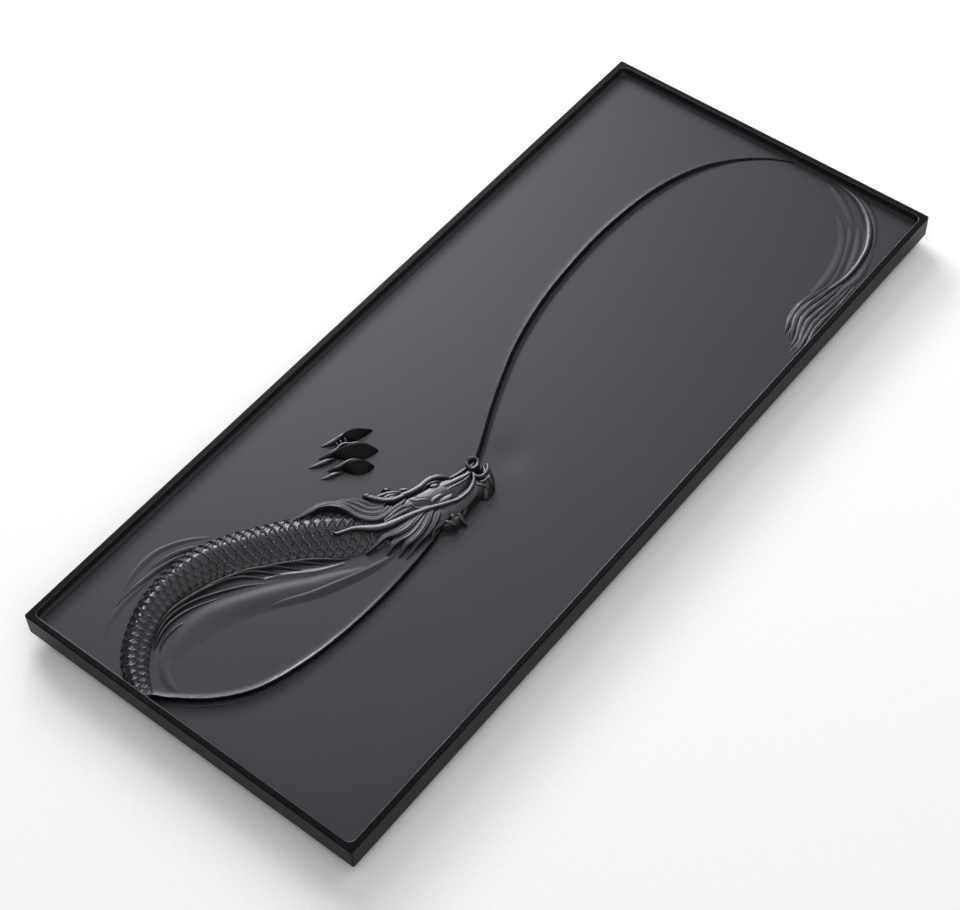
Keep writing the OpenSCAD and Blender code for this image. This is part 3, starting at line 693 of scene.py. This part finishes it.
def claws(material, painted_shade_material):
    """The claw behind the head and the one that hangs over the step."""
    # The talons take the near-black honed stone: painted shade on faces that turn from the light.
    carve("back_claw_talons", ["back_claw"], painted_shade_material, [
        ([(-101, 78.6, 1, 2), (-97, 77.4, 3, 4.4), (-92.4, 75.4, 7, 6), (-87.4, 72.6, 9.4, 5.8),
          (-82.4, 69.8, 7, 4.6), (-78, 67.4, 4, 2.6), (-74.6, 65.4, 1, 0.7)], TALON),
        ([(-112, 72.4, 1, 2.4), (-108, 69.4, 6, 5.4), (-103, 65.4, 12.4, 6.4), (-98, 60.8, 15.4, 6.4),
          (-93, 56, 12.6, 5.4), (-89.4, 52.4, 6.4, 3.6), (-86.4, 50, 1, 0.7)], TALON),
        ([(-117, 58.6, 1, 2.2), (-114, 56.4, 6, 5), (-110, 52.4, 12, 6), (-106, 48.4, 12.4, 5.6),
          (-102.6, 45.2, 7.4, 4), (-99.4, 42.8, 1, 0.7)], TALON),
    ])
    carve("back_claw_toes", ["back_claw"], material, [
        # Each toe's upper edge, running on along the edge of its talon.
        ([(-110, 86.6, 1, 0.1), (-105, 83.6, 3.6, 1.8), (-99.6, 81, 4, 3.2), (-94.6, 79, 3.4, 4.6),
          (-88.6, 77, 1, 4.8)], cut()),
        ([(-119.4, 80, 1, 0.4), (-114.8, 76.8, 3, 3), (-110.3, 74.2, 3.4, 4.8), (-106.4, 72.6, 3, 5.8),
          (-102.6, 72.6, 2.4, 6.2), (-99.3, 71.4, 2.4, 6.2), (-96.4, 67.6, 2.2, 6), (-91.7, 63.8, 2, 5.4),
          (-89, 59, 1, 4)], cut(-0.3)),
        ([(-124, 67.4, 1, 0.4), (-120, 64.6, 2.8, 2.8), (-116.6, 61.8, 3.2, 4.4), (-112.2, 59.8, 2.6, 5.6),
          (-107.8, 57.8, 2.2, 5.8), (-104.4, 54.6, 2, 5), (-102.6, 51, 1, 3.6)], cut(-0.3)),
        ([(-130.4, 80.8, 1, 0.1), (-126, 78.2, 3.6, 1.6), (-121.4, 75.8, 4.6, 2.4),
          (-116.4, 73.4, 4.4, 2.6), (-111.6, 70.4, 2, 1.8)], cut(-0.5, 0.6)),
        ([(-132.4, 66.8, 1, 0.1), (-128, 64.2, 3.8, 1.5), (-123.6, 62, 4.4, 2.2), (-119.4, 59.6, 3, 1.8),
          (-117, 57.6, 1.4, 1)], cut(-0.5, 0.6)),
        # The folds across the knuckles.
        ([(-103.4, 73.6, 1, 2.4), (-102, 76.4, 2, 4), (-100.6, 79, 1, 2.6)], cut(0)),
        ([(-100.6, 72.4, 1, 2.4), (-99, 75.4, 2, 4.4), (-97.4, 78, 1, 2.8)], cut(0)),
        ([(-97.4, 71.4, 1, 2), (-95.6, 74, 2, 4.6), (-94, 76.6, 1, 2.8)], cut(0)),
    ])
    carve("front_claw_talons", ["front_claw"], material, [
        ([(-112, -31.4, 2, 1.8), (-108, -33, 8, 3), (-103, -34.6, 10, 3), (-98.4, -35.4, 9, 2.4),
          (-94.4, -35.6, 5, 0.8), (-91.6, -36, 1, -2)], {"gap": 0.6, "power": 0.8}),
        ([(-99.6, -29.6, 1.2, 3.2), (-101.6, -32.6, 2.6, 4.2), (-105, -34.4, 1.2, 3)], cut(0)),
        ([(-108, -29.6, 1.4, 3), (-107, -33.4, 3, 3.9), (-105.4, -37.4, 2.6, 2.4), (-104.6, -40, 1, -1)],
         cut(0)),
        ([(-95.6, -31.4, 1.4, 2), (-97, -35.4, 3.4, 3), (-98, -39.6, 2.6, 0.8), (-98.4, -43, 1.2, -2)],
         cut(0)),
    ])


def tail(material, floor_material):
    """The tail in the pool at the right, and the waves beside it."""
    low = {"level": None}
    soft = {**WATER, **low, "crest": 0.3}
    carve("tail_fin_fur", ["tail_fin"], material, [
        ([(250, -122.6, 2, 0.4), (239, -120.2, 4, 1.6), (229, -117.6, 5, 2.3), (218, -116, 5.4, 2.6),
          (207, -117, 5.2, 2.5), (198, -119.6, 4.2, 2), (188.6, -122.4, 1, 0.2)], fur(4, **low)),
        ([(256, -126.4, 2, 0.4), (246, -125, 3.6, 1.4), (236, -123.6, 4.6, 2), (224, -121.2, 5.4, 2.6),
          (213, -120.6, 5.6, 2.8), (203, -122.4, 5, 2.6), (194.6, -126, 4, 1.8), (186, -130, 1, 0.2)],
         fur(4, **low)),
        ([(258, -130, 2, 0.4), (246, -129.4, 3.6, 1.4), (234, -128, 4.8, 2.1), (223, -126, 5.2, 2.6),
          (212, -125.4, 5, 2.7), (202, -127.6, 4.6, 2.4), (193, -131.2, 3.8, 1.7), (182, -133.4, 1, 0.2)],
         fur(4, **low)),
        ([(260, -133.4, 2, 0.4), (246, -133.2, 3.4, 1.3), (233, -132.4, 4.4, 2), (221, -130.8, 4.8, 2.4),
          (210, -130.4, 4.6, 2.5), (199, -132.6, 4.4, 2.2), (187, -136.2, 3.4, 1.4), (175, -135.6, 1, 0.2)],
         fur(4, **low)),
        ([(262, -136.4, 2, 0.3), (248, -136.4, 3, 1.1), (234, -136, 3.8, 1.7), (221, -135, 4.2, 2.1),
          (208, -135, 4, 2.2), (196, -137.2, 3.8, 2), (184, -138.8, 3, 1.3), (173, -138.6, 1, 0.2)],
         fur(4, **low)),
        ([(262, -139.2, 1.6, 0.3), (246, -139.6, 2.8, 0.9), (232, -139.4, 3.4, 1.4),
          (218, -138.8, 3.6, 1.8), (205, -139, 3.6, 1.8), (194, -141, 3.2, 1.5), (182, -142.2, 1, 0.2)],
         fur(3, **low)),
        ([(184, -128.6, 1, 0.1), (191, -125, 2.4, 1), (198, -123, 2, 1.4), (204, -122, 1, 1)],
         {**low, "gap": 0.6}),
    ])
    carve("tail_ridge_carved", ["tail_ridge"], material, [
        ([(343.6, -70, 2, 0.1), (342, -78, 4, 1.1), (337.6, -90, 5.4, 2.1), (331.6, -100.4, 6.8, 2.8),
          (323, -110.6, 7.4, 3.2), (312, -119, 7.6, 3.2), (299.4, -125, 7.2, 2.9), (287, -127.8, 6.6, 2.5),
          (275, -128.8, 6.4, 2.1), (263.6, -128.4, 6, 1.8), (253.6, -126.4, 5.4, 1.5),
          (244, -124.4, 4.4, 1.3), (234, -123, 2.6, 1)], {**low, "power": 1.0, "crest": 0.3, "across": 16}),
    ])
    carve("tail_ridge_ripples", ["tail_ridge"], floor_material, [
        ([(341, -60, 3, 0.02), (334.8, -73.4, 7, 0.4), (329.4, -83, 8, 0.5), (320, -95.8, 7, 0.35),
          (310, -106, 3, 0.02)], soft),
        ([(314, -100, 3, 0.02), (304, -107.2, 7, 0.35), (294, -111.8, 8, 0.5), (280.6, -116.6, 8, 0.5),
          (262, -121.6, 7, 0.35), (246, -123, 3, 0.02)], soft),
        ([(315, -108, 3, 0.02), (303, -115.2, 7, 0.45), (290.6, -121, 8, 0.6), (278, -124.6, 7, 0.5),
          (264, -126.4, 3, 0.02)], soft),
        ([(317, -86, 3, 0.02), (308, -95.4, 7, 0.25), (296, -105, 9, 0.4), (281, -111.8, 10, 0.5),
          (264.4, -116, 10, 0.55), (247.6, -117, 8, 0.5), (234, -116, 3, 0.1)], soft),
        ([(302, -130, 3, 0.02), (287.4, -133.6, 7, 0.5), (270.4, -136, 8, 0.7), (257.8, -134, 7, 0.7),
          (244.4, -130.4, 4, 0.4)], soft),
        ([(344, -82, 3, 0.02), (340.6, -94, 5, 0.4), (334, -105.6, 6, 0.55), (325, -115.6, 6, 0.55),
          (312, -124.6, 5, 0.4), (298, -131, 3, 0.02)], soft),
    ])


# ---- Materials ----

STONE_TINT = (0.93, 0.91, 1.0, 1)   # the black stone reflects slightly blue
NOISE_ROUGHNESS = 0.55


class Nodes:
    """Short names for building a material's nodes."""

    def __init__(self, name):
        self.material = bpy.data.materials.new(name)
        self.material.use_nodes = True
        self.tree = self.material.node_tree
        self.shader = self.tree.nodes["Principled BSDF"]
        self.place = self.tree.nodes.new("ShaderNodeTexCoord").outputs["Object"]

    def drive(self, socket, output):
        """Lets a node's output vary one of the shader's sockets."""
        self.tree.links.new(output, self.shader.inputs[socket])

    def fix(self, socket, value):
        """Sets one of the shader's sockets, the same all over."""
        self.shader.inputs[socket].default_value = value

    def noise(self, scale, detail):
        node = self.tree.nodes.new("ShaderNodeTexNoise")
        node.inputs["Scale"].default_value = scale
        node.inputs["Detail"].default_value = detail
        node.inputs["Roughness"].default_value = NOISE_ROUGHNESS
        self.tree.links.new(self.place, node.inputs["Vector"])
        return node.outputs["Fac"]

    def blend(self, factor, low, high):
        """A colour between two, each with the factor where it sets in."""
        node = self.tree.nodes.new("ShaderNodeValToRGB")
        for element, (at, colour) in zip(node.color_ramp.elements, (low, high)):
            element.position = at
            element.color = (*colour, 1)
        self.tree.links.new(factor, node.inputs["Fac"])
        return node.outputs["Color"]

    def between(self, factor, low, high):
        node = self.tree.nodes.new("ShaderNodeMapRange")
        node.inputs["To Min"].default_value = low
        node.inputs["To Max"].default_value = high
        self.tree.links.new(factor, node.inputs["Value"])
        return node.outputs["Result"]

    def bump(self, height, strength, distance, normal=None):
        node = self.tree.nodes.new("ShaderNodeBump")
        node.inputs["Strength"].default_value = strength
        node.inputs["Distance"].default_value = distance
        self.tree.links.new(height, node.inputs["Height"])
        if normal is not None:
            self.tree.links.new(normal, node.inputs["Normal"])
        return node.outputs["Normal"]


def milled_stone():
    n = Nodes("milled_black_stone")
    mottling = n.noise(26, 3)
    grain = n.noise(1500, 3)
    n.drive("Base Color", n.blend(mottling, (0.3, (0.0112, 0.0112, 0.0124)),
                                  (0.75, (0.0124, 0.0124, 0.0136))))
    n.drive("Roughness", n.between(grain, 0.42, 0.5))
    n.drive("Normal", n.bump(grain, 0.18, 0.0002))
    n.fix("Specular IOR Level", 0.35)
    n.fix("Specular Tint", STONE_TINT)
    return n.material


def carved_stone(name, rough, specular):
    n = Nodes(name)
    grain = n.noise(1300, 3)
    tool_marks = n.noise(420, 2)
    mottling = n.noise(120, 3)
    n.drive("Base Color", n.blend(mottling, (0.3, (0.0105, 0.0105, 0.0116)),
                                  (0.75, (0.0125, 0.0125, 0.0137))))
    n.drive("Roughness", n.between(grain, rough, rough + 0.08))
    n.drive("Normal", n.bump(grain, 0.15, 0.0002, n.bump(tool_marks, 0.12, 0.0004)))
    n.fix("Specular IOR Level", specular)
    n.fix("Specular Tint", STONE_TINT)
    return n.material


def polished_stone():
    """Dark honed stone for the block's rim and outside; on the step's face and the back claw's talons its
    near-black colour is painted shade.
    """
    n = Nodes("honed_black_stone_and_painted_shade")
    grain = n.noise(900, 4)
    cloud = n.noise(60, 3)
    # Near-black base: the rim's own finish, and painted shade where it lies on the step's face and the
    # talons.
    n.drive("Base Color", n.blend(cloud, (0.3, (0.003, 0.003, 0.004)), (0.8, (0.005, 0.005, 0.006))))
    n.drive("Roughness", n.between(grain, 0.26, 0.38))
    n.drive("Normal", n.bump(grain, 0.08, 0.0001))
    n.fix("Specular IOR Level", 0.06)
    return n.material


def foot_rubber():
    n = Nodes("foot_rubber")
    grain = n.noise(1200, 3)
    n.drive("Base Color", n.blend(grain, (0.3, (0.010, 0.010, 0.010)), (0.7, (0.018, 0.018, 0.018))))
    n.drive("Roughness", n.between(grain, 0.6, 0.75))
    n.drive("Normal", n.bump(grain, 0.2, 0.0002))
    return n.material


def foam_tape():
    n = Nodes("foam_tape")
    cells = n.noise(2500, 2)
    n.drive("Base Color", n.blend(cells, (0.3, (0.52, 0.51, 0.46)), (0.7, (0.66, 0.65, 0.6))))
    n.drive("Roughness", n.between(cells, 0.75, 0.9))
    n.drive("Normal", n.bump(cells, 0.4, 0.0003))
    return n.material


def backdrop_paper():
    n = Nodes("backdrop_paper")
    tooth = n.noise(300, 3)
    n.drive("Base Color", n.blend(tooth, (0.2, (0.78, 0.78, 0.785)), (0.8, (0.82, 0.82, 0.825))))
    n.fix("Roughness", 0.9)
    n.fix("Specular IOR Level", 0.2)
    return n.material


# ---- Stage, light and camera, in metres ----

STUDIO_HALF = 6.0
AIR_COLOUR, AIR_STRENGTH = (1.0, 0.985, 0.99, 1), 0.25

# Each soft light: where it hangs, its width and height, its power and its colour.
SOFT_LIGHTS = {
    "back_box": ((1.2, 2.0, 1.15), 1.6, 0.75, 62, (0.98, 0.97, 1)),
    "right_box": ((2.5, 0.5, 1.9), 4.0, 4.0, 44, (1, 0.99, 0.99)),
    "sheen_panel": ((0.9, 1.2, 1.6), 1.1, 0.5, 9, (0.9, 0.92, 1)),
    "camera_side_fill": ((-0.8, -1.2, 2.6), 4.0, 4.0, 58, (1, 0.99, 0.99)),
}

CAMERA_PLACE = (-0.787, -0.653, 1.302)
CAMERA_TARGET = (-0.0486, -0.0153, 0.028)
CAMERA_ROLL = -2.87      # degrees
FOCAL_LENGTH, SENSOR_WIDTH = 82.7, 36   # millimetres
FARTHEST = 50.0          # what the camera sees ends here


def plane(name, half, material):
    """A square on the ground, centred under the tray."""
    mesh = bpy.data.meshes.new(name)
    corners = [(-half, -half, 0), (half, -half, 0), (half, half, 0), (-half, half, 0)]
    mesh.from_pydata(corners, [], [(0, 1, 2, 3)])
    mesh.materials.append(material)
    return new_object(name, mesh)


def aim(obj, target):
    direction = Vector(target) - obj.location
    obj.rotation_euler = direction.to_track_quat("-Z", "Y").to_euler()


def soft_light(name, place, wide, high, power, colour):
    """A rectangle of light turned towards the middle of the ground."""
    light = bpy.data.lights.new(name, "AREA")
    light.shape = "RECTANGLE"
    light.size, light.size_y = wide, high
    light.energy = power
    light.color = colour
    obj = new_object(name, light)
    obj.location = place
    aim(obj, (0, 0, 0))


def studio():
    """The paper the tray stands on, the lights and the air around them."""
    plane("studio_floor", STUDIO_HALF, backdrop_paper())
    for name, settings in SOFT_LIGHTS.items():
        soft_light(name, *settings)
    world = bpy.data.worlds.new("studio_air")
    world.use_nodes = True
    background = world.node_tree.nodes["Background"]
    background.inputs["Color"].default_value = AIR_COLOUR
    background.inputs["Strength"].default_value = AIR_STRENGTH
    bpy.context.scene.world = world
    bpy.context.scene.view_settings.view_transform = "Standard"


def camera():
    """The camera, standing where the photograph was taken from."""
    lens = bpy.data.cameras.new("camera")
    lens.lens = FOCAL_LENGTH
    lens.sensor_width = SENSOR_WIDTH
    lens.clip_end = FARTHEST
    obj = new_object("camera", lens)
    obj.location = CAMERA_PLACE
    aim(obj, CAMERA_TARGET)
    obj.rotation_euler.rotate_axis("Z", math.radians(CAMERA_ROLL))
    bpy.context.scene.camera = obj


# ---- The scene ----

camera()
studio()
milled = milled_stone()
carved = carved_stone("carved_black_stone", 0.27, 0.52)
honed_and_painted_shade = polished_stone()
stone_block(milled, honed_and_painted_shade, carved)
dragon_body(carved_stone("scaled_black_stone", 0.22, 0.5))
fins_and_water(carved, milled)
head(carved)
claws(carved, honed_and_painted_shade)
tail(carved, milled)

# The feet and their glue discs keep the frame's own shapes.
rubber, foam = foot_rubber(), foam_tape()
for node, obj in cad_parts.items():
    if node.startswith(("foot_", "glue_disc_")):
        obj.data.materials.clear()
        obj.data.materials.append(rubber if node.startswith("foot_") else foam)
